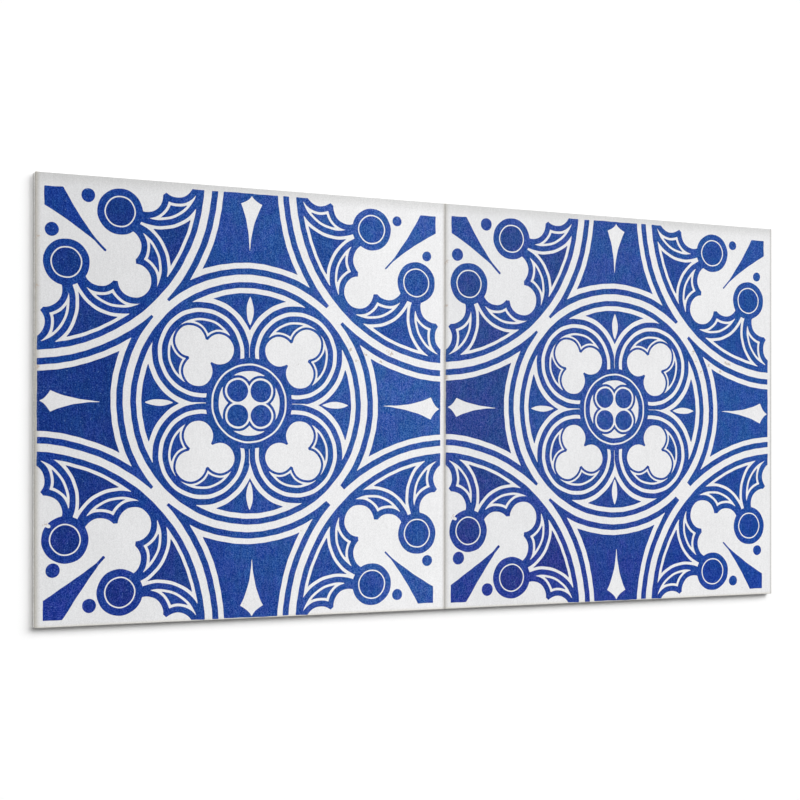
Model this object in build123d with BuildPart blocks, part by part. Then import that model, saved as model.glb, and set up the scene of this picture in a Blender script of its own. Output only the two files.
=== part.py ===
"""Peel and stick wall panel: one printed sheet with two square tile fields side by side.

The panel lies on its flat adhesive back, with the printed front face up. The origin is the middle
of the back. X runs along the length, across both fields, and Y runs up the print. Sizes are in mm.
"""

import os
from math import acos, degrees, sin

from build123d import *

# Driving dimensions
tile_side = 300.0  # side of each square tile field
panel_thickness = 5.0  # back to front face
corner_radius = 0.8  # cut corners of the outline, seen from the front
rim_radius = 0.4  # softened edge all round the front face
joint_depth = 0.6  # shallow joint pressed into the front between the fields
joint_shoulder_radius = 1.6  # rolled shoulder from a field down into the joint
joint_bottom_radius = 0.5  # round bottom of the joint

# Sizes that follow
panel_length = 2 * tile_side
panel_width = tile_side
half_length = panel_length / 2

# A joint is a shoulder arc that turns down and a bottom arc that turns back by the same angle, so
# both arcs together drop by joint_depth and run out by their radii times the sine of that angle.
joint_arcs = joint_shoulder_radius + joint_bottom_radius
joint_turn = acos(1 - joint_depth / joint_arcs)
joint_half_width = joint_arcs * sin(joint_turn)
joint_turn_degrees = degrees(joint_turn)

os.makedirs("parts", exist_ok=True)

with BuildPart() as wall_panel:
    # The section across both fields: flat back, square ends, and the joint's four tangent arcs
    with BuildSketch(Plane.XZ.offset(-panel_width / 2)) as section:
        with BuildLine() as outline:
            Polyline((-joint_half_width, panel_thickness), (-half_length, panel_thickness), (-half_length, 0))
            Polyline((-half_length, 0), (half_length, 0), (half_length, panel_thickness))
            Line((half_length, panel_thickness), (joint_half_width, panel_thickness))
            left_shoulder = JernArc(
                (-joint_half_width, panel_thickness), (1, 0), joint_shoulder_radius, -joint_turn_degrees
            )
            left_bottom = JernArc(
                left_shoulder @ 1, left_shoulder % 1, joint_bottom_radius, joint_turn_degrees
            )
            right_bottom = JernArc(left_bottom @ 1, left_bottom % 1, joint_bottom_radius, joint_turn_degrees)
            JernArc(right_bottom @ 1, right_bottom % 1, joint_shoulder_radius, -joint_turn_degrees)
        make_face()
    extrude(amount=panel_width)

    # Rounded corners of the outline
    corners = wall_panel.edges().filter_by(Axis.Z)
    fillet(corners, radius=corner_radius)

    # Softened rim of the front face, which dips through both ends of the joint
    front_edges = wall_panel.edges().filter_by_position(
        Axis.Z, panel_thickness - joint_depth, panel_thickness
    )
    joint_lines = front_edges.filter_by(Axis.Y).filter_by_position(
        Axis.X, -joint_half_width, joint_half_width
    )
    fillet(front_edges - joint_lines, radius=rim_radius)

wall_panel.part.label = "wall_panel"
export_step(wall_panel.part, "parts/wall_panel.step")
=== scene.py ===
"""Dressing of a peel and stick wall panel: two square tile fields printed in blue tracery on white.

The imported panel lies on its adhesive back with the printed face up. X runs along the length, Y up the
print and Z out of the face. The CAD solid keeps its shape and gets the printed white finish. The blue of
each field is a closed film of ink that lies on the face. The print is laid out in millimetres from the
middle of its field, and everything that goes into Blender is in metres.
"""

import logging
import math
from dataclasses import dataclass, field, replace
from enum import Enum
from typing import Callable, Union

import bpy
import numpy as np
from mathutils.geometry import delaunay_2d_cdt
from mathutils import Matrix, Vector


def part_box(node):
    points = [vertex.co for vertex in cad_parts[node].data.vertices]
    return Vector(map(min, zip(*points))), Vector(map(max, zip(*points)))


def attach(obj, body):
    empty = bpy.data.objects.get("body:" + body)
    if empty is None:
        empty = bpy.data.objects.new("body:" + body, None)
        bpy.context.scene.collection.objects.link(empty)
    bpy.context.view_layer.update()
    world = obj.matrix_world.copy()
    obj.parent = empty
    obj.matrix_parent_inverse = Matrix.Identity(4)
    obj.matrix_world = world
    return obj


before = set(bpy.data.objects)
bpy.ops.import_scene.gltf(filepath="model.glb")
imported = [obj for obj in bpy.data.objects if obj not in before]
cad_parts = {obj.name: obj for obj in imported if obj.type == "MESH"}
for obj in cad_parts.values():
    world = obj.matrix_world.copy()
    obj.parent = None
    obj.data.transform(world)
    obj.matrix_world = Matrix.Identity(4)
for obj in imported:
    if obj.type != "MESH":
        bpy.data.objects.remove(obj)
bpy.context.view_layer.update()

LOG = logging.getLogger("wall_panel")
MM = 0.001
HALF_DIAGONAL = math.sqrt(0.5)
THICK_INK = "thick_ink"
BAKE_MAP = "OFBake"

Array = np.ndarray
Place = tuple[float, float]
Triple = tuple[float, float, float]
Colour = tuple[float, float, float]
Socket = bpy.types.NodeSocket
Input = Union[float, tuple, Socket]


def disc(x: Array, y: Array, centre: Place, radius: float) -> Array:
    """Field of a disc: the radius less the distance from its centre, so above zero inside."""
    return radius - np.hypot(x - centre[0], y - centre[1])


def ring(distance: Array, inner: float, outer: float) -> Array:
    """Field of a ring: above zero where a distance lies between the inner and the outer radius."""
    return np.minimum(distance - inner, outer - distance)


def common(*fields: Array) -> Array:
    """Field of what several shapes share: the least of their fields."""
    return np.minimum.reduce(fields)


def joined(*fields: Array) -> Array:
    """Field of several shapes together: the greatest of their fields."""
    return np.maximum.reduce(fields)


def without(ink: Array, *shapes: Array) -> Array:
    """Ink with shapes left white: the least of the ink and each shape's opposite."""
    return np.minimum.reduce([ink] + [-shape for shape in shapes])


def diagonal(x: Array, y: Array) -> tuple[Array, Array]:
    """Distance out along the diagonal between X and Y, and distance from it, which is never below zero."""
    return (x + y) * HALF_DIAGONAL, np.abs(x - y) * HALF_DIAGONAL


def add_object(name: str, data: bpy.types.ID) -> bpy.types.Object:
    """New object at the origin, linked into the scene."""
    thing = bpy.data.objects.new(name, data)
    bpy.context.scene.collection.objects.link(thing)
    return thing


class Quarter(Enum):
    """Quarters of a tile field, each with its signs along X and Y."""

    NORTH_EAST = (1.0, 1.0)
    NORTH_WEST = (-1.0, 1.0)
    SOUTH_WEST = (-1.0, -1.0)
    SOUTH_EAST = (1.0, -1.0)

    def fold(self, x: Array, y: Array) -> tuple[Array, Array]:
        """Coordinates turned over so that this quarter has both of them above zero."""
        return self.value[0] * x, self.value[1] * y


class Side(Enum):
    """Sides of a tile field, each with the direction out to it."""

    NORTH = (0.0, 1.0)
    SOUTH = (0.0, -1.0)
    EAST = (1.0, 0.0)
    WEST = (-1.0, 0.0)

    def axes(self, x: Array, y: Array) -> tuple[Array, Array]:
        """Distance out towards this side, and distance across that axis."""
        return self.value[0] * x + self.value[1] * y, abs(self.value[1]) * x + abs(self.value[0]) * y


@dataclass(frozen=True)
class HandWobble:
    """Unsteady line of a hand-made print: each point is shifted by a long and a short wave each way.

    A slant is how far a wave's course leans over for each millimetre across it, the long wave's first.
    """

    reach: float = 0.10
    long_wave: float = 37.0
    short_wave: float = 11.0
    short_share: float = 0.7
    x_slants: Place = (0.4, -0.3)
    y_slants: Place = (-0.5, 0.2)

    def wave(self, along: Array, across: Array, slants: Place) -> Array:
        """Shift by both waves at distances along and across their course."""
        slow = np.sin(2 * math.pi / self.long_wave * (along + slants[0] * across))
        fast = np.sin(2 * math.pi / self.short_wave * (along + slants[1] * across))
        return self.reach * (slow + self.short_share * fast)

    def shift(self, x: Array, y: Array) -> tuple[Array, Array]:
        """Distances along and up the print in mm, shifted by the waves."""
        return x + self.wave(y, x, self.x_slants), y + self.wave(x, y, self.y_slants)


@dataclass(frozen=True)
class Boss:
    """Round boss at the heart of the rose: four discs in a four-lobed outline and a thin ring."""

    radius: float = 31.6
    thin_ring_inner: float = 26.4
    thin_ring_outer: float = 27.7
    white_field: float = 22.5
    disc_offset: float = 8.55
    disc_radius: float = 7.65
    lobe_inner: float = 9.15
    lobe_outer: float = 10.9

    def draw(self, ink: Array, x: Array, y: Array) -> Array:
        """Draw the boss over what is there.

        The four discs are folded into one by the absolute coordinates. The lobed outline is the union of
        four larger discs and the square between their centres, drawn once in blue and once in white.

        Args:
            ink: Field of the ink so far.
            x: Distances from the middle of the rose.
            y: Distances from the middle of the rose.

        Returns:
            The ink with the boss drawn in.
        """
        reach = np.hypot(x, y)
        side_x, side_y = np.abs(x), np.abs(y)
        from_disc = np.hypot(side_x - self.disc_offset, side_y - self.disc_offset)
        square = self.disc_offset - np.maximum(side_x, side_y)
        white = self.white_field - reach
        ink = joined(ink, self.radius - reach)
        ink = without(ink, ring(reach, self.thin_ring_inner, self.thin_ring_outer), white)
        ink = joined(ink, common(joined(self.lobe_outer - from_disc, square), white))
        ink = without(ink, joined(self.lobe_inner - from_disc, square))
        return joined(ink, self.disc_radius - from_disc)


@dataclass(frozen=True)
class Petals:
    """Four round petals of the rose, each with a band, a trefoil and two leaves between its lobes."""

    radius: float = 34.9
    band_outer: float = 30.8
    band_inner: float = 28.0
    leaf_line_outer: float = 23.9
    leaf_line_inner: float = 22.3
    leaf_start: float = -8.0
    top_lobe_at: float = 11.35
    top_lobe_radius: float = 10.7
    side_lobe_at: float = 13.0
    side_lobe_turn: float = 123.5
    side_lobe_radius: float = 10.4
    heart_radius: float = 9.6
    lobe_line: float = 1.65
    lobe_line_gap: float = 3.05
    centres: dict[Quarter, Place] = field(default_factory=lambda: {
        Quarter.NORTH_EAST: (34.9, 34.1),
        Quarter.NORTH_WEST: (34.6, 34.4),
        Quarter.SOUTH_WEST: (34.1, 35.5),
        Quarter.SOUTH_EAST: (35.0, 35.2),
    })

    def cover(self, x: Array, y: Array) -> Array:
        """Field of all four petals together."""
        return joined(*(
            disc(*quarter.fold(x, y), self.centres[quarter], self.radius) for quarter in Quarter
        ))

    def trefoil(self, out: Array, across: Array) -> Array:
        """Field of the trefoil: a lobe on the axis, one on each side, and a disc at the heart.

        Args:
            out: Distances from the petal's middle away from the rose.
            across: Distances from the petal's axis, none below zero.

        Returns:
            The field of the four discs together.
        """
        turn = math.radians(self.side_lobe_turn)
        side_lobe = (self.side_lobe_at * math.cos(turn), self.side_lobe_at * math.sin(turn))
        return joined(
            disc(out, across, (self.top_lobe_at, 0.0), self.top_lobe_radius),
            disc(out, across, side_lobe, self.side_lobe_radius),
            disc(out, across, (0.0, 0.0), self.heart_radius),
        )

    def draw(self, ink: Array, x: Array, y: Array) -> Array:
        """Draw the band, the leaves and the trefoil of each petal in white lines over the blue.

        Args:
            ink: Field of the ink so far, blue all over the petals.
            x: Distances from the middle of the rose.
            y: Distances from the middle of the rose.

        Returns:
            The ink with the petals drawn in.
        """
        for quarter in Quarter:
            folded_x, folded_y = quarter.fold(x, y)
            from_x = folded_x - self.centres[quarter][0]
            from_y = folded_y - self.centres[quarter][1]
            reach = np.hypot(from_x, from_y)
            out, across = diagonal(from_x, from_y)
            trefoil = self.trefoil(out, across)
            outward = out - self.leaf_start
            leaf_line = common(self.leaf_line_outer - reach, -trefoil - self.lobe_line, outward)
            leaf = common(self.leaf_line_inner - reach, -trefoil - self.lobe_line_gap, outward)
            ink = without(ink, ring(reach, self.band_inner, self.band_outer), leaf_line)
            ink = without(joined(ink, leaf), trefoil)
        return ink


@dataclass(frozen=True)
class AxisTriangles:
    """White gaps between the petals, each with a blue curved triangle and a white almond in it.

    Each almond has its half width and how far off the axis it is drawn.
    """

    gap_reach: float = 80.3
    triangle_reach: float = 76.7
    petal_gap: float = 3.5
    almond_inner: float = 54.4
    almond_outer: float = 74.6
    hairline_half_width: float = 0.22
    hairline_inner: float = 31.5
    hairline_outer: float = 42.0
    almonds: dict[Side, Place] = field(default_factory=lambda: {
        Side.NORTH: (2.58, 0.4),
        Side.SOUTH: (2.42, 0.35),
        Side.EAST: (2.42, -0.5),
        Side.WEST: (2.25, -0.25),
    })

    def almond(self, out: Array, across: Array, half_width: float) -> Array:
        """Field of an almond: what two equal discs share, with both tips on its own axis.

        The radius is the half length squared plus the half width squared, over twice the half width.

        Args:
            out: Distances from the middle along the axis.
            across: Distances across the almond's axis.
            half_width: Half its width at the widest place.

        Returns:
            The field of the almond.
        """
        middle = (self.almond_inner + self.almond_outer) / 2
        half_length = (self.almond_outer - self.almond_inner) / 2
        radius = (half_length**2 + half_width**2) / (2 * half_width)
        return disc(out, np.abs(across), (middle, half_width - radius), radius)

    def draw(self, ink: Array, x: Array, y: Array, petals: Array, boss_radius: float) -> Array:
        """Draw the four gaps, their triangles, almonds and the hairline between the petals.

        Args:
            ink: Field of the ink so far.
            x: Distances from the middle of the rose.
            y: Distances from the middle of the rose.
            petals: Field of the petals together.
            boss_radius: Radius inside which nothing is drawn.

        Returns:
            The ink with the gaps drawn in.
        """
        reach = np.hypot(x, y)
        outside_boss = reach - boss_radius
        ink = without(ink, common(self.gap_reach - reach, -petals, outside_boss))
        ink = joined(ink, common(self.triangle_reach - reach, -petals - self.petal_gap, outside_boss))
        for side in Side:
            out, across = side.axes(x, y)
            along = ring(out, self.hairline_inner, self.hairline_outer)
            hairline = common(self.hairline_half_width - np.abs(across), along)
            half_width, off_axis = self.almonds[side]
            ink = without(ink, self.almond(out, across - off_axis, half_width), hairline)
        return ink


@dataclass(frozen=True)
class KiteHand:
    """Size and place of one kite, in distances from the middle of the rose.

    Across is how far off the axis its widest place is drawn, and lean how much that changes for each
    millimetre further out.
    """

    point: float
    widest: float
    tip: float
    half_width: float
    across: float
    lean: float = 0.0


@dataclass(frozen=True)
class Kites:
    """White kite in the blue at the middle of each side, with a long point towards the rose."""

    point_bow: float = 3.0
    tip_bow: float = 2.0
    finest: float = 0.2
    hands: dict[Side, KiteHand] = field(default_factory=lambda: {
        Side.NORTH: KiteHand(point=92.5, widest=139.1, tip=145.7, half_width=7.9, across=1.4, lean=0.042),
        Side.SOUTH: KiteHand(point=95.5, widest=140.8, tip=149.8, half_width=8.4, across=1.9),
        Side.EAST: KiteHand(point=87.0, widest=140.4, tip=148.6, half_width=8.2, across=-1.8, lean=-0.037),
        Side.WEST: KiteHand(point=91.0, widest=138.0, tip=146.6, half_width=7.1, across=-0.3),
    })

    def draw(self, ink: Array, x: Array, y: Array) -> Array:
        """Draw the four kites in white.

        The half width grows from the long point as a power of the way to the widest place, and falls
        to the outer tip as another power. What would be narrower than the finest line is left out.

        Args:
            ink: Field of the ink so far.
            x: Distances from the middle of the rose.
            y: Distances from the middle of the rose.

        Returns:
            The ink with the kites drawn in.
        """
        for side, hand in self.hands.items():
            out, across = side.axes(x, y)
            across = np.abs(across - hand.across - hand.lean * (out - hand.widest))
            rise = np.clip((out - hand.point) / (hand.widest - hand.point), 0, 1)
            fall = np.clip((hand.tip - out) / (hand.tip - hand.widest), 0, 1)
            half = hand.half_width * np.minimum(rise**self.point_bow, fall**self.tip_bow)
            kite = np.where(half > self.finest, half - across, -across - self.finest)
            ink = without(ink, kite)
        return ink


@dataclass(frozen=True)
class CornerHand:
    """What the hand that drew the print did a little differently at one corner.

    The shifts are from the wheel's centre towards the middle of the tile, and the turns in degrees are
    those of the half cells on the two sides of the tile. The side disc is the one beside the tile's left
    or right edge, and the end disc the one beside its top or bottom edge.
    """

    centre: Place
    tracery_shift: Place
    side_turns: Place
    disc_radius: float
    dot_shift: Place
    dot_radius: float
    wedge_shift: Place
    wedge_tip: float
    wedge_half_width: float
    wedge_bow: float
    wedge_blunt: float
    side_disc_shift: Place = (0.0, 0.0)
    end_disc_shift: Place = (0.0, 0.0)


@dataclass(frozen=True)
class WheelGrid:
    """Places seen from one corner wheel.

    There are the distances from the wheel's centre and from its tracery's, the distances along, across
    and from the middle of each cell, and the field of the cells together.
    """

    wheel_x: Array
    wheel_y: Array
    from_x: Array
    from_y: Array
    cells: list[tuple[Array, Array, Array]]
    cover: Array

    @property
    def wheel_reach(self) -> Array:
        """Distance from the wheel's centre."""
        return np.hypot(self.wheel_x, self.wheel_y)

    @property
    def reach(self) -> Array:
        """Distance from the tracery's centre."""
        return np.hypot(self.from_x, self.from_y)


@dataclass(frozen=True)
class CornerWheel:
    """Quarter of a traceried wheel at each corner: rings, cusped cells, discs, dots and a wedge."""

    blue_reach: float = 121.1
    line_reach: float = 117.0
    triangle_reach: float = 114.75
    triangle_gap: float = 2.25
    triangle_start: float = 80.0
    cell_at: float = 88.5
    cell_outer: float = 32.05
    cell_inner: float = 27.95
    leaf_reach: float = 26.2
    top_lobe_at: float = 101.75
    top_lobe_radius: float = 11.5
    side_lobe: Place = (80.3, 11.5)
    side_lobe_radius: float = 11.6
    heart_at: float = 84.6
    heart_radius: float = 12.8
    throat_reach: float = 76.0
    throat_half_width: float = 24.0
    cusp_line: float = 4.2
    cusp_line_gap: float = 6.1
    disc_near: float = 26.0
    disc_far: float = 62.0
    disc_ring_inner: float = 9.65
    disc_ring_outer: float = 10.6
    dot_at: Place = (41.85, 17.1)
    wedge_edge: float = 12.0
    wedge_wide_at: float = 25.5
    corners: dict[Quarter, CornerHand] = field(default_factory=lambda: {
        Quarter.NORTH_EAST: CornerHand(
            centre=(155.6, 152.7), tracery_shift=(0.8, -0.3), side_turns=(0.2, -0.2),
            disc_radius=15.1, side_disc_shift=(0.3, 0.7), dot_shift=(1.0, 0.8), dot_radius=3.6,
            wedge_shift=(-0.7, 0.8), wedge_tip=74.5, wedge_half_width=8.8, wedge_bow=1.55, wedge_blunt=0.6,
        ),
        Quarter.NORTH_WEST: CornerHand(
            centre=(153.7, 153.9), tracery_shift=(0.2, 0.4), side_turns=(1.3, 0.1),
            disc_radius=15.5, side_disc_shift=(0.0, -0.3), dot_shift=(-1.1, -0.7), dot_radius=4.6,
            wedge_shift=(-0.5, 0.5), wedge_tip=75.0, wedge_half_width=9.0, wedge_bow=1.55, wedge_blunt=0.8,
        ),
        Quarter.SOUTH_WEST: CornerHand(
            centre=(153.0, 154.7), tracery_shift=(-0.3, 0.1), side_turns=(-0.2, 0.1),
            disc_radius=15.7, side_disc_shift=(-0.8, 0.4), end_disc_shift=(0.0, 0.4),
            dot_shift=(-0.7, 0.7), dot_radius=4.7,
            wedge_shift=(-1.7, -2.3), wedge_tip=74.9, wedge_half_width=9.2, wedge_bow=1.12, wedge_blunt=1.0,
        ),
        Quarter.SOUTH_EAST: CornerHand(
            centre=(155.6, 155.4), tracery_shift=(0.4, 0.2), side_turns=(0.1, 0.6),
            disc_radius=15.1, dot_shift=(0.5, 0.4), dot_radius=4.0,
            wedge_shift=(1.2, -1.3), wedge_tip=71.8, wedge_half_width=8.6, wedge_bow=1.45, wedge_blunt=0.6,
        ),
    })

    def inward(self, quarter: Quarter, x: Array, y: Array) -> tuple[Array, Array]:
        """Distances from the wheel's centre towards the middle of the tile, along X and along Y."""
        folded_x, folded_y = quarter.fold(x, y)
        centre = self.corners[quarter].centre
        return centre[0] - folded_x, centre[1] - folded_y

    def reaches(self, x: Array, y: Array) -> list[Array]:
        """Distances from the centres of the four wheels."""
        return [np.hypot(*self.inward(quarter, x, y)) for quarter in Quarter]

    def grid(self, quarter: Quarter, x: Array, y: Array) -> WheelGrid:
        """Places seen from one wheel.

        Args:
            quarter: The wheel's quarter of the tile field.
            x: Distances from the middle of the rose.
            y: Distances from the middle of the rose.

        Returns:
            The places.
        """
        hand = self.corners[quarter]
        wheel_x, wheel_y = self.inward(quarter, x, y)
        from_x, from_y = wheel_x - hand.tracery_shift[0], wheel_y - hand.tracery_shift[1]
        cells = self.cells(hand, from_x, from_y)
        cover = joined(*(self.cell_outer - from_cell for _, _, from_cell in cells))
        return WheelGrid(wheel_x, wheel_y, from_x, from_y, cells, cover)

    def opening(self, out: Array, across: Array, reach: Array) -> Array:
        """Field of a cell's cusped opening: three lobes, the disc at their heart and the throat.

        Args:
            out: Distances from the tracery's centre along the cell's axis.
            across: Distances from that axis, none below zero.
            reach: Distances from the tracery's centre.

        Returns:
            The field of the white opening.
        """
        return joined(
            disc(out, across, (self.top_lobe_at, 0.0), self.top_lobe_radius),
            disc(out, across, self.side_lobe, self.side_lobe_radius),
            disc(out, across, (self.heart_at, 0.0), self.heart_radius),
            common(self.throat_reach - reach, self.throat_half_width - across),
        )

    def cells(self, hand: CornerHand, from_x: Array, from_y: Array) -> list[tuple[Array, Array, Array]]:
        """Coordinates of the three cells that show in a quarter of the wheel.

        Args:
            hand: What this corner has of its own.
            from_x: Distances from the tracery's centre along X.
            from_y: Distances from the tracery's centre along Y.

        Returns:
            For each cell the distance along its axis, across it, and from the cell's own middle. The
            cell on the diagonal comes first.
        """
        found = []
        for degrees in (45.0, hand.side_turns[0], 90.0 - hand.side_turns[1]):
            turn = math.radians(degrees)
            out = from_x * math.cos(turn) + from_y * math.sin(turn)
            across = np.abs(from_y * math.cos(turn) - from_x * math.sin(turn))
            found.append((out, across, np.hypot(out - self.cell_at, across)))
        return found

    def wedge(self, hand: CornerHand, grid: WheelGrid) -> Array:
        """Field of the wedge: square at the corner, with sides that bow in to a blunt tip.

        The half width is a power of the way that is left to the tip, and never less than that of the
        blunt tip itself.

        Args:
            hand: What this corner has of its own.
            grid: Places seen from the wheel.

        Returns:
            The field of the wedge.
        """
        from_x, from_y = grid.wheel_x - hand.wedge_shift[0], grid.wheel_y - hand.wedge_shift[1]
        out, across = diagonal(from_x, from_y)
        left = hand.wedge_tip - out
        share = np.clip(left / (hand.wedge_tip - self.wedge_wide_at), 0, None)
        half = np.maximum(hand.wedge_half_width * share**hand.wedge_bow, hand.wedge_blunt)
        sides = np.where(left > 0, half - across, -np.hypot(left, across))
        return common(sides, np.minimum(from_x, from_y) - self.wedge_edge)

    def dots(self, hand: CornerHand, grid: WheelGrid) -> Array:
        """Field of the two dots, one on each side of the diagonal."""
        from_x, from_y = grid.wheel_x - hand.dot_shift[0], grid.wheel_y - hand.dot_shift[1]
        return disc(*diagonal(from_x, from_y), self.dot_at, hand.dot_radius)

    def from_discs(self, hand: CornerHand, grid: WheelGrid) -> Array:
        """Distance from the middle of the nearer of the two discs."""
        side, end = hand.side_disc_shift, hand.end_disc_shift
        from_side = np.hypot(grid.from_x - self.disc_near - side[0], grid.from_y - self.disc_far - side[1])
        from_end = np.hypot(grid.from_x - self.disc_far - end[0], grid.from_y - self.disc_near - end[1])
        return np.minimum(from_side, from_end)

    def spandrels(self, grid: WheelGrid) -> Array:
        """Field of the blue curved triangles between the cells and the rim of the wheel."""
        below_rim = self.triangle_reach - grid.wheel_reach
        return common(below_rim, -grid.cover - self.triangle_gap, grid.reach - self.triangle_start)

    def deep(self, x: Array, y: Array) -> Array:
        """Field of the areas where the ink lies thicker: the hearts of the discs and the spandrels.

        Args:
            x: Distances from the middle of the rose.
            y: Distances from the middle of the rose.

        Returns:
            The field of these areas in all four wheels.
        """
        found = []
        for quarter, hand in self.corners.items():
            grid = self.grid(quarter, x, y)
            found += [self.disc_ring_inner - self.from_discs(hand, grid), self.spandrels(grid)]
        return joined(*found)

    def draw(self, ink: Array, x: Array, y: Array) -> Array:
        """Draw the four wheels inside their blue discs.

        Args:
            ink: Field of the ink so far.
            x: Distances from the middle of the rose.
            y: Distances from the middle of the rose.

        Returns:
            The ink with the wheels drawn in.
        """
        for quarter, hand in self.corners.items():
            grid = self.grid(quarter, x, y)
            inside = self.blue_reach - grid.wheel_reach
            part = without(inside, common(self.line_reach - grid.wheel_reach, -grid.cover))
            part = joined(part, self.spandrels(grid))
            for out, across, from_cell in grid.cells:
                opening = self.opening(out, across, grid.reach)
                part = without(part, common(self.cell_inner - from_cell, -opening - self.cusp_line))
                part = joined(part, common(self.leaf_reach - from_cell, -opening - self.cusp_line_gap))
                part = without(part, common(opening, self.cell_outer - from_cell))
            from_disc = self.from_discs(hand, grid)
            part = joined(part, hand.disc_radius - from_disc)
            part = without(part, ring(from_disc, self.disc_ring_inner, self.disc_ring_outer))
            part = joined(part, self.dots(hand, grid), self.wedge(hand, grid))
            ink = np.where(inside > 0, part, joined(ink, common(part, inside)))
        return ink


@dataclass(frozen=True)
class RoseRings:
    """Rings round the rose and the corner wheels, which run together across the diagonals."""

    rose_reach: float = 84.35
    band_reach: float = 89.6
    wheel_band_reach: float = 126.5
    line_start: float = 4.4
    line_end: float = 8.3
    bridge_half_width: float = 7.7
    bridge_reach: float = 112.0

    def shape(self, x: Array, y: Array, wheels: list[Array]) -> Array:
        """Field of the rose and the four wheels together, by the distances from the wheels' centres."""
        return joined(self.band_reach - np.hypot(x, y), *(self.wheel_band_reach - wheel for wheel in wheels))

    def west_ground(self, x: Array, y: Array, wheels: list[Array]) -> Array:
        """Field of the blue ground outside the rings on the left of the rose."""
        return common(-self.shape(x, y, wheels) - self.line_end, -x - self.rose_reach)

    def draw(self, ink: Array, x: Array, y: Array, wheels: list[Array]) -> Array:
        """Draw the white rings and bridges into the blue ground.

        The rose and the four wheels together make one shape, and the rings are the places at set
        distances outside it.

        Args:
            ink: Field of the ink so far.
            x: Distances from the middle of the rose.
            y: Distances from the middle of the rose.
            wheels: Distances from the centres of the four corner wheels.

        Returns:
            The ink with the rings drawn in.
        """
        shape = self.shape(x, y, wheels)
        _, from_diagonal = diagonal(np.abs(x), np.abs(y))
        between = ring(np.hypot(x, y), self.rose_reach, self.bridge_reach)
        bridge = common(self.bridge_half_width - from_diagonal, between)
        return without(ink, ring(-shape, self.line_start, self.line_end), shape, bridge)

    def rose_ground(self, x: Array, y: Array) -> Array:
        """Field of the blue ground of the rose."""
        return self.rose_reach - np.hypot(x, y)


@dataclass(frozen=True)
class TilePrint:
    """Blue print of one tile field: a rose of four petals between four quarters of corner wheels."""

    middle: Place = (-1.82, -0.30)
    left: float = -146.8
    right: float = 148.2
    bottom: float = -149.0
    top: float = 146.3
    corner_start: float = 70.0
    corner_full: float = 74.0
    left_corner_more: float = 1.0
    right_corner_more: float = 0.2
    top_corner_more: float = 0.6
    chip_start: Place = (-141.3, -81.9)
    chip_end: Place = (-138.7, -83.0)
    chip_radius: float = 1.2
    wobble: HandWobble = HandWobble()
    rings: RoseRings = RoseRings()
    kites: Kites = Kites()
    triangles: AxisTriangles = AxisTriangles()
    petals: Petals = Petals()
    boss: Boss = Boss()
    wheel: CornerWheel = CornerWheel()

    def sheet(self, x: Array, y: Array) -> Array:
        """Field of the printed square, which runs further out beside the corner wheels.

        Args:
            x: Distances from the middle of the rose.
            y: Distances from the middle of the rose.

        Returns:
            The field of the square.
        """
        span = self.corner_full - self.corner_start
        beside_x = np.clip((np.abs(y) - self.corner_start) / span, 0, 1)
        beside_y = np.clip((np.abs(x) - self.corner_start) / span, 0, 1)
        return common(
            x - self.left + self.left_corner_more * beside_x,
            self.right + self.right_corner_more * beside_x - x,
            y - self.bottom,
            self.top + self.top_corner_more * beside_y - y,
        )

    def chip(self, x: Array, y: Array) -> Array:
        """Field of a chip out of the ink: what lies within its radius of the line from start to end."""
        along_x, along_y = self.chip_end[0] - self.chip_start[0], self.chip_end[1] - self.chip_start[1]
        from_x, from_y = x - self.chip_start[0], y - self.chip_start[1]
        share = np.clip((from_x * along_x + from_y * along_y) / (along_x**2 + along_y**2), 0, 1)
        return self.chip_radius - np.hypot(from_x - share * along_x, from_y - share * along_y)

    def deep(self, tile_x: Array, tile_y: Array) -> Array:
        """Field of the areas of thicker ink, at distances from the middle of the tile field in mm."""
        x, y = tile_x - self.middle[0], tile_y - self.middle[1]
        return joined(self.wheel.deep(x, y), self.rings.west_ground(x, y, self.wheel.reaches(x, y)))

    def ink(self, tile_x: Array, tile_y: Array) -> Array:
        """Field of the ink, above zero where the print is blue.

        Args:
            tile_x: Distances from the middle of the tile field along X in mm.
            tile_y: Distances from the middle of the tile field along Y in mm.

        Returns:
            The field, about the distance in mm to the nearest edge of the ink.
        """
        x, y = self.wobble.shift(tile_x - self.middle[0], tile_y - self.middle[1])
        sheet = self.sheet(x, y)
        ink = self.rings.draw(sheet, x, y, self.wheel.reaches(x, y))
        ink = self.kites.draw(ink, x, y)
        ink = joined(ink, self.rings.rose_ground(x, y))
        ink = self.triangles.draw(ink, x, y, self.petals.cover(x, y), self.boss.radius)
        ink = self.petals.draw(ink, x, y)
        ink = self.boss.draw(ink, x, y)
        ink = self.wheel.draw(ink, x, y)
        return common(without(ink, self.chip(x, y)), sheet)


@dataclass(frozen=True)
class InkOutline:
    """Edges of the ink: points, and runs between two points with the ink on their left."""

    points: Array
    runs: Array


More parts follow.
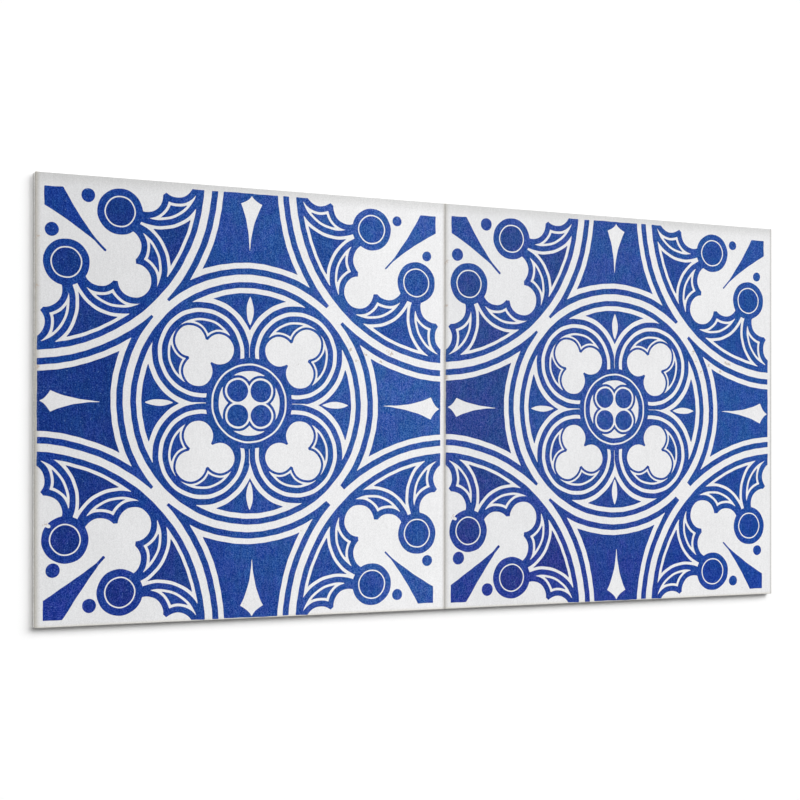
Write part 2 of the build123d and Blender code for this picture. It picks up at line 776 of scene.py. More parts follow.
@dataclass(frozen=True)
class OutlineTracer:
    """Traces where a field crosses zero on a square grid, by marching squares on whole arrays."""

    half_side: float = 150.0
    step: float = 0.5
    margin: float = 0.04

    # Runs of each case of a grid square, between its lower, right, upper and left edge. A case adds 1, 2,
    # 4 and 8 for ink at its lower left, lower right, upper right and upper left corner.
    RUNS = {
        1: ((0, 3),), 2: ((1, 0),), 3: ((1, 3),), 4: ((2, 1),), 6: ((2, 0),), 7: ((2, 3),), 8: ((3, 2),),
        9: ((0, 2),), 11: ((1, 2),), 12: ((3, 1),), 13: ((0, 1),), 14: ((3, 0),),
    }
    # Runs where ink stands at two opposite corners, apart and joined through the middle
    CROSSED_RUNS = {5: (((0, 3), (2, 1)), ((0, 1), (2, 3))), 10: (((1, 0), (3, 2)), ((3, 0), (1, 2)))}

    def trace(self, ink: Callable[[Array, Array], Array], middle: Place) -> InkOutline:
        """Trace the edges of the ink.

        A point stands on each grid edge whose ends differ in sign, as far along as the two values say.
        Each grid square then joins the points on its edges by the case of its four corners.

        Args:
            ink: Field of the ink as a function of x and y in mm.
            middle: Middle of the grid, so that hairlines through it lie on the grid.

        Returns:
            The outline in mm.
        """
        count = int(round(2 * self.half_side / self.step)) + 1
        ticks = np.linspace(-self.half_side, self.half_side, count)
        x, y = np.meshgrid(ticks + middle[0], ticks + middle[1])
        value = ink(x, y)
        inked = value > 0
        level, level_points = self.crossings(value, inked, x, y, 1)
        upright, upright_points = self.crossings(value, inked, x, y, 0)
        upright = np.where(upright >= 0, upright + len(level_points), -1)
        edges = (level[:-1], upright[:, 1:], level[1:], upright[:, :-1])
        corners = (inked[:-1, :-1], inked[:-1, 1:], inked[1:, 1:], inked[1:, :-1])
        case = sum(corner.astype(int) << bit for bit, corner in enumerate(corners))
        centre = (value[:-1, :-1] + value[:-1, 1:] + value[1:, 1:] + value[1:, :-1]) > 0
        runs = []
        for number, pairs in self.RUNS.items():
            runs += self.join(edges, case == number, pairs)
        for number, (apart, together) in self.CROSSED_RUNS.items():
            runs += self.join(edges, (case == number) & ~centre, apart)
            runs += self.join(edges, (case == number) & centre, together)
        return InkOutline(np.concatenate([level_points, upright_points]), np.concatenate(runs))

    def crossings(self, value: Array, inked: Array, x: Array, y: Array, axis: int) -> tuple[Array, Array]:
        """Points where the field changes sign along one axis of the grid.

        Args:
            value: The field on the grid.
            inked: Where the field is above zero.
            x: Grid coordinates along X.
            y: Grid coordinates along Y.
            axis: Axis of the arrays along which neighbours are compared.

        Returns:
            The number of the point on each grid edge, -1 for none, and the points.
        """
        first = (slice(None), slice(None, -1)) if axis else (slice(None, -1), slice(None))
        second = (slice(None), slice(1, None)) if axis else (slice(1, None), slice(None))
        changes = inked[first] != inked[second]
        numbers = np.where(changes, np.cumsum(changes).reshape(changes.shape) - 1, -1)
        start, end = value[first][changes], value[second][changes]
        way = np.clip(start / (start - end), self.margin, 1 - self.margin)
        along_x = x[first][changes] * (1 - way) + x[second][changes] * way
        along_y = y[first][changes] * (1 - way) + y[second][changes] * way
        return numbers, np.stack([along_x, along_y], axis=1)

    def join(
        self, edges: tuple[Array, ...], squares: Array, pairs: tuple[tuple[int, int], ...]
    ) -> list[Array]:
        """Runs of point numbers across the chosen grid squares, one array for each pair of edges."""
        return [np.stack([edges[start][squares], edges[end][squares]], axis=1) for start, end in pairs]


@dataclass(frozen=True)
class PrintFilm:
    """Closed thin film of ink on the panel's face, filled between the edges of the print."""

    outline: InkOutline
    face_height: float
    thickness: float = 0.05
    sunk: float = 0.08
    fill_tolerance: float = 1e-7

    # Kind of fill that keeps all triangles, those beyond the outline too
    WHOLE_FILL = 0

    def triangles(self) -> Array:
        """Triangles that fill the ink between its edges, seen from above.

        All points are joined into triangles that keep every run as an edge. A triangle beside a run is
        ink if the run passes it on the left and bare if not, and any other triangle is what its
        neighbours are.

        Returns:
            Numbers of the three points of each triangle, turning left.
        """
        points, runs = self.outline.points, self.outline.runs
        settings = (self.WHOLE_FILL, self.fill_tolerance)
        filled_points, _, filled, *_ = delaunay_2d_cdt(points.tolist(), runs.tolist(), [], *settings)
        if len(filled_points) != len(points):
            raise ValueError("the fill merged or added points of the outline")
        corners = np.array(filled)
        first, second, third = (points[corners[:, place]] for place in range(3))
        along, beside = second - first, third - first
        turn = along[:, 0] * beside[:, 1] - along[:, 1] * beside[:, 0]
        corners = np.where((turn < 0)[:, None], corners[:, ::-1], corners)
        key = len(points)
        following = np.roll(corners, -1, axis=1)
        sides = corners * key + following
        inked = np.isin(sides, runs[:, 0] * key + runs[:, 1]).any(axis=1)
        bare = np.isin(sides, runs[:, 1] * key + runs[:, 0]).any(axis=1)
        return corners[self.spread(inked, inked | bare, sides, following * key + corners)]

    def spread(self, inked: Array, known: Array, sides: Array, facing: Array) -> Array:
        """Let triangles that touch no run take after their neighbours, row by row from those that do.

        Args:
            inked: Which triangles are ink as far as is known.
            known: Which triangles are known to be ink or bare.
            sides: One number for each side of each triangle, by its two ends in turn.
            facing: The number of the same side seen from the triangle beyond it.

        Returns:
            Which triangles are ink.
        """
        order = np.argsort(sides, axis=None)
        in_order = sides.ravel()[order]
        place = np.searchsorted(in_order, facing).clip(max=len(order) - 1)
        shared = in_order[place] == facing
        neighbour = order[place] // 3
        while True:
            reached = shared & known[neighbour]
            new = ~known & reached.any(axis=1)
            if not new.any():
                return inked
            inked = inked | (new & (reached & inked[neighbour]).any(axis=1))
            known = known | new

    def build(self, name: str, triangles: Array, thicker: Array, shift: Place) -> bpy.types.Object:
        """Make the film: a top and a bottom of the same triangles, and a wall along every run.

        Args:
            name: Name of the piece.
            triangles: Triangles that fill the outline, turning left seen from above.
            thicker: Which of them have thicker ink.
            shift: Where the middle of the tile field lies on the panel in mm.

        Returns:
            The new object, at the origin with its place in its mesh.
        """
        points, runs = self.outline.points + np.array(shift), self.outline.runs
        count = len(points)
        top = np.column_stack([points, np.full(count, self.face_height + self.thickness)])
        bottom = np.column_stack([points, np.full(count, self.face_height - self.sunk)])
        below = triangles[:, ::-1] + count
        start, end = runs[:, 0], runs[:, 1]
        lower_wall = np.stack([start + count, end + count, end], axis=1)
        upper_wall = np.stack([start + count, end, start], axis=1)
        faces = np.concatenate([triangles, below, lower_wall, upper_wall])
        vertices = np.concatenate([top, bottom]) * MM
        mesh = bpy.data.meshes.new(name)
        mesh.from_pydata(vertices.tolist(), [], faces.tolist())
        self.lay_flat(mesh, vertices, faces)
        tone = np.concatenate([thicker, thicker, np.zeros(2 * len(runs))])
        mesh.attributes.new(THICK_INK, "FLOAT", "FACE").data.foreach_set("value", tone)
        mesh.update()
        return add_object(name, mesh)

    def lay_flat(self, mesh: bpy.types.Mesh, vertices: Array, faces: Array) -> None:
        """Give the film a map that is its own plan, scaled into the unit square."""
        plan = vertices[:, :2] - vertices[:, :2].min(axis=0)
        plan = plan / plan.max()
        layer = mesh.uv_layers.new(name=BAKE_MAP)
        layer.data.foreach_set("uv", plan[faces.ravel()].ravel())


@dataclass(frozen=True)
class Ramp:
    """Smooth rise from low to high as a value goes from start to end."""

    start: float
    end: float
    low: Input = 0.0
    high: Input = 1.0


@dataclass(frozen=True)
class Grain:
    """Noise of one grain: its cells in a metre, its finer layers and their weight.

    A grain with a scale along Y is taken at one height, so that it runs straight down through the piece.
    """

    scale: float
    detail: float
    roughness: float = 0.5
    along_y: float | None = None


class NodeBoard:
    """Short way to place nodes in one tree, set their inputs and join them."""

    # Sockets of a mix node that belong to colours: its factor and both colours, and its result
    MIX_INPUTS = (0, 6, 7)
    MIX_RESULT = 2
    # Height of a flat grain in metres, off the plane at zero, where a noise has less contrast
    GRAIN_HEIGHT = 0.00055
    # Values between which nearly all of a noise lies
    NOISE_SPREAD = (0.3, 0.7)

    def __init__(self, tree: bpy.types.NodeTree) -> None:
        """Start on an empty tree."""
        self.tree = tree
        tree.nodes.clear()

    def put(self, socket: Socket, value: Input) -> None:
        """Join a socket to another, or set its value."""
        if isinstance(value, Socket):
            self.tree.links.new(value, socket)
        elif isinstance(value, tuple) and socket.type == "RGBA" and len(value) == 3:
            socket.default_value = (*value, 1.0)
        else:
            socket.default_value = value

    def add(self, kind: str, inputs: dict | None = None, **settings: object) -> bpy.types.Node:
        """Add a node.

        Args:
            kind: Node type.
            inputs: Values or sockets by the name or number of each input.
            settings: Properties of the node.

        Returns:
            The node.
        """
        node = self.tree.nodes.new(kind)
        for name, value in settings.items():
            setattr(node, name, value)
        for name, value in (inputs or {}).items():
            self.put(node.inputs[name], value)
        return node

    def math(self, operation: str, *values: Input) -> Socket:
        """Result of one sum on values or sockets."""
        return self.add("ShaderNodeMath", dict(enumerate(values)), operation=operation).outputs[0]

    def fade(self, value: Input, ramp: Ramp) -> Socket:
        """Where a ramp is at a value."""
        span = {"From Min": ramp.start, "From Max": ramp.end, "To Min": ramp.low, "To Max": ramp.high}
        node = self.add("ShaderNodeMapRange", {"Value": value, **span}, interpolation_type="SMOOTHSTEP")
        return node.outputs["Result"]

    def vary(self, noise: Input, low: float, high: float) -> Socket:
        """A noise spread out from low to high."""
        return self.fade(noise, Ramp(*self.NOISE_SPREAD, low, high))

    def mix(self, factor: Input, first: Input, second: Input, blend: str = "MIX") -> Socket:
        """Two colours mixed by a factor."""
        node = self.add("ShaderNodeMix", data_type="RGBA", blend_type=blend)
        for number, value in zip(self.MIX_INPUTS, (factor, first, second)):
            self.put(node.inputs[number], value)
        return node.outputs[self.MIX_RESULT]

    def times(self, first: Input, second: Input) -> Socket:
        """Two colours multiplied."""
        return self.mix(1.0, first, second, "MULTIPLY")

    def shade(self, colour: Input, tone: Input) -> Socket:
        """A colour made lighter or darker: all three of its parts times a tone."""
        return self.times(colour, self.add("ShaderNodeCombineColor", {0: tone, 1: tone, 2: tone}).outputs[0])

    def noise(self, place: Input, grain: Grain) -> Socket:
        """Smooth noise from 0 to 1 at a place in metres.

        Args:
            place: The place.
            grain: Size and kind of the noise.

        Returns:
            The noise.
        """
        if grain.along_y is not None:
            height = (0.0, 0.0, self.GRAIN_HEIGHT)
            flat = {"Vector": place, "Scale": (1.0, grain.along_y, 0.0), "Location": height}
            place = self.add("ShaderNodeMapping", flat).outputs["Vector"]
        kind = {"Scale": grain.scale, "Detail": grain.detail, "Roughness": grain.roughness}
        return self.add("ShaderNodeTexNoise", {"Vector": place, **kind}).outputs["Fac"]


@dataclass(frozen=True)
class Flecks:
    """Small brown flecks in the white of the print, at the same places of every tile field.

    Each has its distance from the left and from the top edge of the field and its radius, in mm.
    """

    on_rings: tuple[Triple, ...] = (
        (222.3, 103.8, 0.8), (224.4, 110.4, 0.9), (230.0, 119.0, 0.9), (237.0, 114.0, 0.9),
        (248.5, 118.2, 0.9), (254.2, 111.6, 1.2), (257.0, 112.4, 1.2),
    )
    on_left_edge: tuple[Triple, ...] = ((1.6, 43.5, 1.4), (0.8, 75.4, 1.2), (1.8, 128.0, 1.3))
    in_chip: tuple[Triple, ...] = ((7.2, 232.0, 1.1),)
    raggedness: float = 1.6
    ragged_grain: Grain = Grain(700.0, 2.0, 0.6)
    core: float = 0.3


class EffectGroups:
    """Effects that the ink and the white ground share, each built once as a node group."""

    # Distance in mm from the panel's ends at which places are held, so that none counts to a field beyond
    END_MARGIN = 0.1
    # Fine speckle, upright streaks, patches of tint and slow clouds
    GRAINS = {
        "Speckle": Grain(2700.0, 0.0, 0.5, along_y=0.7),
        "Streak": Grain(900.0, 1.0, 0.6, along_y=0.12),
        "Tint": Grain(95.0, 2.0, 0.6),
        "Cloud": Grain(26.0, 3.0, 0.55),
    }

    def __init__(self, tile_side: float, flecks: Flecks) -> None:
        """Build the groups for tile fields of this side in metres and for these flecks."""
        self.tile_place = self.build_tile_place(tile_side)
        self.print_grain = self.build_print_grain()
        self.print_flecks = self.build_print_flecks(flecks)

    def open_group(self, name: str) -> tuple[bpy.types.NodeTree, NodeBoard, Socket]:
        """Make an empty group with a place going in.

        Args:
            name: Name of the group.

        Returns:
            The group, its board and the place.
        """
        group = bpy.data.node_groups.new(name, "ShaderNodeTree")
        group.interface.new_socket("Place", in_out="INPUT", socket_type="NodeSocketVector")
        board = NodeBoard(group)
        return group, board, board.add("NodeGroupInput").outputs["Place"]

    def close_group(self, board: NodeBoard, found: dict[str, Socket]) -> None:
        """Let the values found in a group come out of it under their names."""
        for label in found:
            board.tree.interface.new_socket(label, in_out="OUTPUT", socket_type="NodeSocketFloat")
        board.add("NodeGroupOutput", found)

    def build_tile_place(self, tile_side: float) -> bpy.types.NodeTree:
        """Group that says how far a place is from the four edges of its own tile field, in mm."""
        group, board, place = self.open_group("tile_place")
        parts = board.add("ShaderNodeSeparateXYZ", {0: place}).outputs
        side = tile_side / MM
        end = side - self.END_MARGIN
        x = board.math("MULTIPLY", parts["X"], 1 / MM)
        y = board.math("MULTIPLY", parts["Y"], 1 / MM)
        inside = board.add("ShaderNodeClamp", {"Value": x, "Min": -end, "Max": end}).outputs[0]
        left = board.math("FLOORED_MODULO", inside, side)
        bottom = board.math("ADD", y, side / 2)
        self.close_group(board, {
            "From Left": left,
            "From Right": board.math("SUBTRACT", side, left),
            "From Bottom": bottom,
            "From Top": board.math("SUBTRACT", side, bottom),
        })
        return group

    def build_print_grain(self) -> bpy.types.NodeTree:
        """Group with the grains of the print."""
        group, board, place = self.open_group("print_grain")
        self.close_group(board, {label: board.noise(place, grain) for label, grain in self.GRAINS.items()})
        return group

    def build_print_flecks(self, flecks: Flecks) -> bpy.types.NodeTree:
        """Group with a mask of the flecks.

        The mask fades in from a fleck's radius to its core, at distances made ragged by a noise.

        Args:
            flecks: Places and sizes of the flecks.

        Returns:
            The group.
        """
        group, board, place = self.open_group("print_flecks")
        tile = self.use(board, self.tile_place, place)
        spot = board.add("ShaderNodeCombineXYZ", {"X": tile["From Left"], "Y": tile["From Top"]}).outputs[0]
        ragged = board.vary(board.noise(place, flecks.ragged_grain), -flecks.raggedness, flecks.raggedness)
        mask = 0.0
        for left, top, radius in flecks.on_rings + flecks.on_left_edge + flecks.in_chip:
            ends = {0: spot, 1: (left, top, 0.0)}
            away = board.add("ShaderNodeVectorMath", ends, operation="DISTANCE").outputs["Value"]
            fleck = board.fade(board.math("ADD", away, ragged), Ramp(radius, flecks.core * radius))
            mask = board.math("MAXIMUM", fleck, mask)
        self.close_group(board, {"Mask": mask})
        return group

    def use(self, board: NodeBoard, group: bpy.types.NodeTree, place: Input) -> bpy.types.NodeOutputs:
        """Place a group on a board, give it the place on the object and return what comes out."""
        return board.add("ShaderNodeGroup", {"Place": place}, node_tree=group).outputs


class FinishBoard(NodeBoard):
    """Board of one finish, with the place on the object and the shared effects at hand."""

    BUMP_DISTANCE = 0.0002

    def __init__(self, name: str, groups: EffectGroups) -> None:
        """Start a new material and place the shared effects on its board."""
        self.material = bpy.data.materials.new(name)
        self.material.use_nodes = True
        super().__init__(self.material.node_tree)
        self.place = self.add("ShaderNodeTexCoord").outputs["Object"]
        self.parts = self.add("ShaderNodeSeparateXYZ", {0: self.place}).outputs
        self.grain = groups.use(self, groups.print_grain, self.place)
        self.tile = groups.use(self, groups.tile_place, self.place)

    def close(self, colour: Input, rough: Input, specular: float, bump: float) -> bpy.types.Material:
        """End in a shader whose relief is the speckle of the print.

        Args:
            colour: Its colour.
            rough: Its roughness.
            specular: Its specular level.
            bump: Strength of the relief.

        Returns:
            The material.
        """
        relief = {"Strength": bump, "Distance": self.BUMP_DISTANCE, "Height": self.grain["Speckle"]}
        shader = self.add("ShaderNodeBsdfPrincipled", {
            "Base Color": colour,
            "Roughness": rough,
            "Specular IOR Level": specular,
            "Normal": self.add("ShaderNodeBump", relief).outputs[0],
        })
        self.add("ShaderNodeOutputMaterial", {"Surface": shader.outputs[0]})
        return self.material


@dataclass(frozen=True)
class InkFinish:
    """Matt cobalt-blue ink, mottled and streaked, lightened towards the joint by painted sheen and darkened
    lower down by painted shade.

    Places on the panel are in metres and distances from the edges of a field in mm.
    """

    # Tones by place on the panel: the pale tone is painted sheen towards the joint, and the violet and lower
    # right tones are painted shade lower down
    deep: Colour = (0.0080, 0.043, 0.242)
    pale: Colour = (0.0350, 0.100, 0.360)
    right_field: Colour = (0.0280, 0.0765, 0.305)
    right_end: Colour = (0.0205, 0.0790, 0.320)
    violet: Colour = (0.0185, 0.034, 0.250)
    painted_shade_right_low: Colour = (0.0075, 0.047, 0.305)
    thick_left: Colour = (0.95, 0.80, 0.82)
    thick_right: Colour = (0.80, 0.87, 0.94)
    edge: Colour = (0.055, 0.085, 0.160)
    teal_tint: Colour = (0.84, 1.05, 0.97)
    violet_tint: Colour = (1.16, 0.95, 1.03)
    dark_grain: Colour = (0.20, 0.56, 0.80)
    light_grain: Colour = (2.45, 1.76, 1.36)
    fleck: Colour = (0.12, 0.22, 0.48)
    towards_painted_sheen: Ramp = Ramp(-0.30, 0.0)
    cloud: float = 0.12
    far_right: Ramp = Ramp(0.10, 0.30)
    low: Ramp = Ramp(0.0, -0.15)
    painted_shade_low_left: Ramp = Ramp(-0.30, -0.15, 0.6, 0.15)
    painted_shade_low_right: float = 0.7
    thick_across: Ramp = Ramp(60.0, 240.0)
    beside_edge: Ramp = Ramp(4.0, 1.0, 0.0, 0.4)
    tints: Ramp = Ramp(0.35, 0.65)
    grains: Ramp = Ramp(0.48, 0.60)
    streak: Place = (0.90, 1.10)
    speck_grain: Grain = Grain(900.0, 0.0, along_y=1.0)
    specks: Ramp = Ramp(0.76, 0.82, 0.0, 0.5)
    roughness: Ramp = Ramp(0.2, 0.8, 0.49, 0.61)
    specular: float = 0.03
    bump: float = 0.12

    def build(self, groups: EffectGroups) -> bpy.types.Material:
        """Make the material.

        Args:
            groups: Shared effects.

        Returns:
            The material.
        """
        board = FinishBoard("cobalt_ink", groups)
        grain, from_left, x = board.grain, board.tile["From Left"], board.parts["X"]

        # Painted sheen and shade: ground colour of the left field, lighter towards the joint, then of the
        # right one, then darker towards the lower part of both
        cloud = board.vary(grain["Cloud"], -self.cloud, self.cloud)
        colour = board.mix(board.math("ADD", board.fade(x, self.towards_painted_sheen), cloud), self.deep, self.pale)
        on_right = board.math("GREATER_THAN", x, 0.0)
        far_right = board.fade(x, self.far_right)
        colour = board.mix(on_right, colour, board.mix(far_right, self.right_field, self.right_end))
        painted_shade_low_right = board.math("MULTIPLY", on_right, self.painted_shade_low_right)
        strongest = board.math("MAXIMUM", board.fade(x, self.painted_shade_low_left), painted_shade_low_right)
        low = board.math("MULTIPLY", board.fade(board.parts["Y"], self.low), strongest)
        colour = board.mix(low, colour, board.mix(far_right, self.violet, self.painted_shade_right_low))

        # Thicker ink, and greyer ink beside the left edge of a field
        thick = board.add("ShaderNodeAttribute", attribute_name=THICK_INK).outputs["Fac"]
        dimmer = board.mix(board.fade(from_left, self.thick_across), self.thick_left, self.thick_right)
        colour = board.mix(thick, colour, board.times(colour, dimmer))
        colour = board.mix(board.fade(from_left, self.beside_edge), colour, self.edge)

        # Patches of tint, speckle, streaks and specks
        colour = board.times(
            colour, board.mix(board.fade(grain["Tint"], self.tints), self.teal_tint, self.violet_tint)
        )
        colour = board.times(
            colour, board.mix(board.fade(grain["Speckle"], self.grains), self.dark_grain, self.light_grain)
        )
        colour = board.shade(colour, board.vary(grain["Streak"], *self.streak))
        specks = board.fade(board.noise(board.place, self.speck_grain), self.specks)
        colour = board.mix(specks, colour, self.fleck)
        return board.close(colour, board.fade(grain["Speckle"], self.roughness), self.specular, self.bump)


@dataclass(frozen=True)
class EdgeTone:
    """Tone that the white takes on towards one edge of a field, over a width in mm."""

    label: str
    width: float
    strength: Input
    colour: Colour


@dataclass(frozen=True)
class WhiteGround:
    """Satin white of the panel: grey-beige towards the edges of each field, with specks and streaks. Painted
    light darkens it towards the left end of the panel, and the sides are painted lighter or darker by how
    they face the lamps, with a painted contact shadow along their foot.

    Places on the panel are in metres, and heights and distances from the edges of a field in mm.
    """

    near_left: Colour = (0.768, 0.771, 0.783)
    near_right: Colour = (0.812, 0.812, 0.821)
    across_field: Ramp = Ramp(0.0, 220.0)
    edges: tuple[EdgeTone, ...] = (
        EdgeTone("From Top", 10.0, 0.75, (0.60, 0.60, 0.595)),
        EdgeTone("From Bottom", 2.6, 0.8, (0.69, 0.67, 0.615)),
        EdgeTone("From Right", 2.4, 0.9, (0.455, 0.44, 0.42)),
    )
    left_edge: Colour = (0.48, 0.46, 0.415)
    left_edge_width: float = 4.4
    # The printed left edge of each field is stronger towards the left end of the panel, as painted shade
    left_edge_strength_with_painted_shade: Ramp = Ramp(-0.3, 0.02, 0.95, 0.62)
    # Painted light along the panel: darker towards its left end, more so at the top, and a step down past
    # the joint
    painted_light_left_end: Ramp = Ramp(0.10, -0.15, 0.87, 0.94)
    painted_light: Ramp = Ramp(-0.33, 0.0, high=1.05)
    painted_light_step_at_joint: Ramp = Ramp(-0.001, 0.001, 0.0, 0.05)
    speck: Colour = (0.42, 0.40, 0.36)
    speck_grain: Grain = Grain(420.0, 1.0)
    specks: Ramp = Ramp(0.76, 0.82, 0.0, 0.5)
    fleck: Colour = (0.42, 0.31, 0.23)
    fleck_strength: float = 0.6
    # Painted light: the sides are lighter than the face where they lie in shade, and painted shade darkens
    # them towards the top right corner, where the lamps light them
    side: Colour = (0.94, 0.93, 0.905)
    side_height: float = 4.3
    painted_shade_side: Colour = (0.68, 0.67, 0.65)
    towards_painted_shade_side: Ramp = Ramp(0.0, 0.1)
    length_over_width: float = 2.0
    # Dark grey of the adhesive film along the foot of the sides, which also stands in as a painted contact
    # shadow
    film: Colour = (0.505, 0.49, 0.46)
    film_and_contact_shade_height: float = 0.8
    back: Colour = (0.72, 0.71, 0.67)
    back_height: float = 0.1
    mottle: Place = (0.92, 1.06)
    streak: Place = (0.985, 1.015)
    cloud: Place = (0.98, 1.015)
    roughness: Ramp = Ramp(0.2, 0.8, 0.43, 0.53)
    specular: float = 0.2
    bump: float = 0.08

    def build(self, groups: EffectGroups) -> bpy.types.Material:
        """Make the material.

        Args:
            groups: Shared effects.

        Returns:
            The material.
        """
        board = FinishBoard("printed_white", groups)
        grain, x, y = board.grain, board.parts["X"], board.parts["Y"]

        # White of a field, its edges, and painted light along the panel: darker towards its left end, more
        # so at the top, and brightest just left of the joint
        across = board.fade(board.tile["From Left"], self.across_field)
        colour = board.mix(across, self.near_left, self.near_right)
        # Printed left edge, made stronger towards the panel's left end as painted shade
        left_strength = board.fade(x, self.left_edge_strength_with_painted_shade)
        left_edge = EdgeTone("From Left", self.left_edge_width, left_strength, self.left_edge)
        for edge in (*self.edges, left_edge):
            near = board.fade(board.tile[edge.label], Ramp(edge.width, 0.0, 0.0, edge.strength))
            colour = board.mix(near, colour, edge.colour)
        # Painted light: the white is shaded darker towards the left end of the panel, more so at the top
        painted_light = board.fade(x, replace(self.painted_light, low=board.fade(y, self.painted_light_left_end)))
        colour = board.shade(colour, board.math("SUBTRACT", painted_light, board.fade(x, self.painted_light_step_at_joint)))

        # Specks and flecks
        specks = board.fade(board.noise(board.place, self.speck_grain), self.specks)
        colour = board.mix(specks, colour, self.speck)
        flecks = groups.use(board, groups.print_flecks, board.place)["Mask"]
        colour = board.mix(board.math("MULTIPLY", flecks, self.fleck_strength), colour, self.fleck)

        # Sides, painted lighter than the face in their shade and painted darker towards the top right corner
        # where the lamps light them, the adhesive film along their foot, darkened as a painted contact
        # shadow, and the back
        far = board.math("ADD", x, board.math("MULTIPLY", y, self.length_over_width))
        side = board.mix(board.fade(far, self.towards_painted_shade_side), self.side, self.painted_shade_side)
        for height, below in (
            (self.side_height, side), (self.film_and_contact_shade_height, self.film), (self.back_height, self.back),
        ):
            colour = board.mix(board.math("LESS_THAN", board.parts["Z"], height * MM), colour, below)

        # Mottle, streaks and clouds over everything
        mottle = board.vary(grain["Speckle"], *self.mottle)
        streak = board.vary(grain["Streak"], *self.streak)
        cloud = board.vary(grain["Cloud"], *self.cloud)
        colour = board.shade(colour, board.math("MULTIPLY", board.math("MULTIPLY", mottle, streak), cloud))
        return board.close(colour, board.fade(grain["Cloud"], self.roughness), self.specular, self.bump)


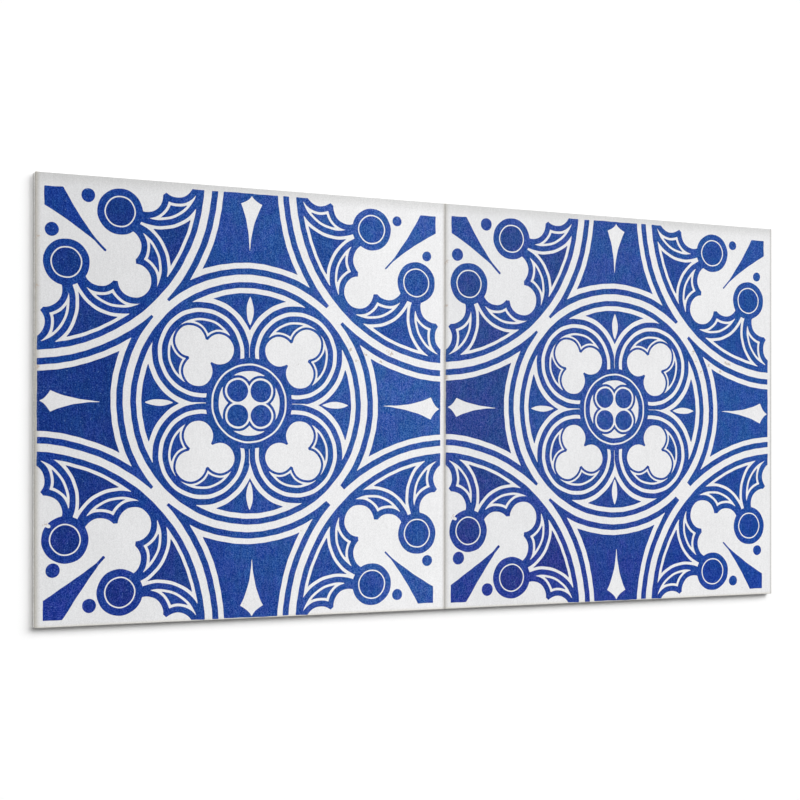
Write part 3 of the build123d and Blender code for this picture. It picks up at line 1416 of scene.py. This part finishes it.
@dataclass(frozen=True)
class Studio:
    """Camera, lamps, sky and white floor of the picture."""

    camera_place: Triple = (-0.4943, -0.0348, 1.0006)
    camera_turn: Triple = (0.25, -24.706, 0.074)
    lens: float = 67.66
    shift_up: float = 0.0571
    nearest: float = 0.01
    lamp_turns: tuple[Place, ...] = ((-37.0, 16.0), (-28.0, 49.0), (-20.0, -64.0))
    lamp_shares: tuple[float, ...] = (0.51, 0.40, 0.09)
    lamp_level: float = 0.885
    lamp_angle: float = 42.0
    white: Colour = (1.0, 1.0, 1.0)
    sky_strength: float = 0.13
    floor_half_side: float = 6.0
    floor_bounce: Colour = (0.8, 0.8, 0.8)

    def build_camera(self) -> None:
        """Set the camera where the photograph was taken from."""
        data = bpy.data.cameras.new("camera")
        data.lens = self.lens
        data.shift_y = self.shift_up
        data.clip_start = self.nearest
        camera = add_object("camera", data)
        camera.location = self.camera_place
        camera.rotation_euler = tuple(math.radians(angle) for angle in self.camera_turn)
        bpy.context.scene.camera = camera

    def build_lamps(self) -> None:
        """Hang a row of wide soft lamps above the top edge of the panel.

        A lamp lights the floor by its strength times the cosine of its slant over pi, so its strength is
        its share of the level times pi over that cosine.
        """
        for (tip, lean), share in zip(self.lamp_turns, self.lamp_shares):
            turn = (math.radians(tip), math.radians(lean), 0.0)
            data = bpy.data.lights.new("soft_lamp", "SUN")
            data.energy = self.lamp_level * share * math.pi / (math.cos(turn[0]) * math.cos(turn[1]))
            data.angle = math.radians(self.lamp_angle)
            add_object("soft_lamp", data).rotation_euler = turn

    def seen_or_lit(self, board: NodeBoard, seen: bpy.types.Node, lit: bpy.types.Node) -> Socket:
        """Choose between two shaders by the kind of ray.

        Args:
            board: Board of the floor or the sky.
            seen: Shader for rays that look straight at it, or see it in gloss or through glass.
            lit: Shader for all other rays, which carry its light.

        Returns:
            The shader for all rays.
        """
        path = board.add("ShaderNodeLightPath").outputs
        gloss = board.math("MAXIMUM", path["Is Glossy Ray"], path["Is Transmission Ray"])
        looks = board.math("MAXIMUM", path["Is Camera Ray"], gloss)
        return board.add("ShaderNodeMixShader", {0: looks, 1: lit.outputs[0], 2: seen.outputs[0]}).outputs[0]

    def build_sky(self) -> None:
        """Light the scene evenly from all round, with a white sky behind."""
        world = bpy.data.worlds.new("sky")
        world.use_nodes = True
        board = NodeBoard(world.node_tree)
        even = board.add("ShaderNodeBackground", {"Color": self.white, "Strength": self.sky_strength})
        behind = board.add("ShaderNodeBackground", {"Color": self.white, "Strength": 1.0})
        board.add("ShaderNodeOutputWorld", {"Surface": self.seen_or_lit(board, behind, even)})
        bpy.context.scene.world = world

    def build_floor(self) -> bpy.types.Object:
        """Lay a plain white floor under the panel's back.

        Returns:
            The floor.
        """
        mesh = bpy.data.meshes.new("floor")
        side = np.array([[-1, -1], [1, -1], [1, 1], [-1, 1]]) * self.floor_half_side
        mesh.from_pydata(np.column_stack([side, np.zeros(4)]).tolist(), [], [(0, 1, 2, 3)])
        material = bpy.data.materials.new("white_floor")
        material.use_nodes = True
        board = NodeBoard(material.node_tree)
        shown = board.add("ShaderNodeBsdfDiffuse", {"Color": self.white})
        bounced = board.add("ShaderNodeBsdfDiffuse", {"Color": self.floor_bounce})
        board.add("ShaderNodeOutputMaterial", {"Surface": self.seen_or_lit(board, shown, bounced)})
        mesh.materials.append(material)
        return add_object("floor", mesh)


@dataclass
class WallPanel:
    """The panel: the CAD solid in printed white, and a film of blue ink on each tile field."""

    node: str = "wall_panel"
    body: str = "root"
    slot: str = "printed_pvc"
    tile_print: TilePrint = field(default_factory=TilePrint)
    tracer: OutlineTracer = field(default_factory=OutlineTracer)
    ink_finish: InkFinish = field(default_factory=InkFinish)
    ground: WhiteGround = field(default_factory=WhiteGround)
    flecks: Flecks = field(default_factory=Flecks)
    right_slip: Place = (-0.4, -0.15)

    def build(self) -> None:
        """Dress the solid and lay the print on both tile fields."""
        low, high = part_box(self.node)
        tile_side = (high[0] - low[0]) / 2
        groups = EffectGroups(tile_side, self.flecks)
        solid = bpy.data.objects[self.node]
        white = self.ground.build(groups)
        for slot in solid.material_slots:
            slot.material = white
        LOG.info("%s: printed white", self.node)
        outline = self.tracer.trace(self.tile_print.ink, self.tile_print.middle)
        film = PrintFilm(outline, face_height=high[2] / MM)
        triangles = film.triangles()
        middles = outline.points[triangles].mean(axis=1)
        thicker = self.tile_print.deep(middles[:, 0], middles[:, 1]) > 0
        ink = self.ink_finish.build(groups)
        half = tile_side / MM / 2
        for name, shift in (
            ("left_tile_print", (-half, 0.0)),
            ("right_tile_print", (half + self.right_slip[0], self.right_slip[1])),
        ):
            piece = film.build(name, triangles, thicker, shift)
            piece.data.materials.append(ink)
            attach(piece, self.body)
            LOG.info("%s: %d faces", name, len(piece.data.polygons))


def main() -> None:
    """Build the panel and the studio."""
    logging.basicConfig(level=logging.INFO, format="%(name)s: %(message)s")
    WallPanel().build()
    studio = Studio()
    studio.build_camera()
    studio.build_lamps()
    studio.build_sky()
    studio.build_floor()
    bpy.context.scene.view_settings.view_transform = "Standard"


if __name__ == "__main__":
    main()
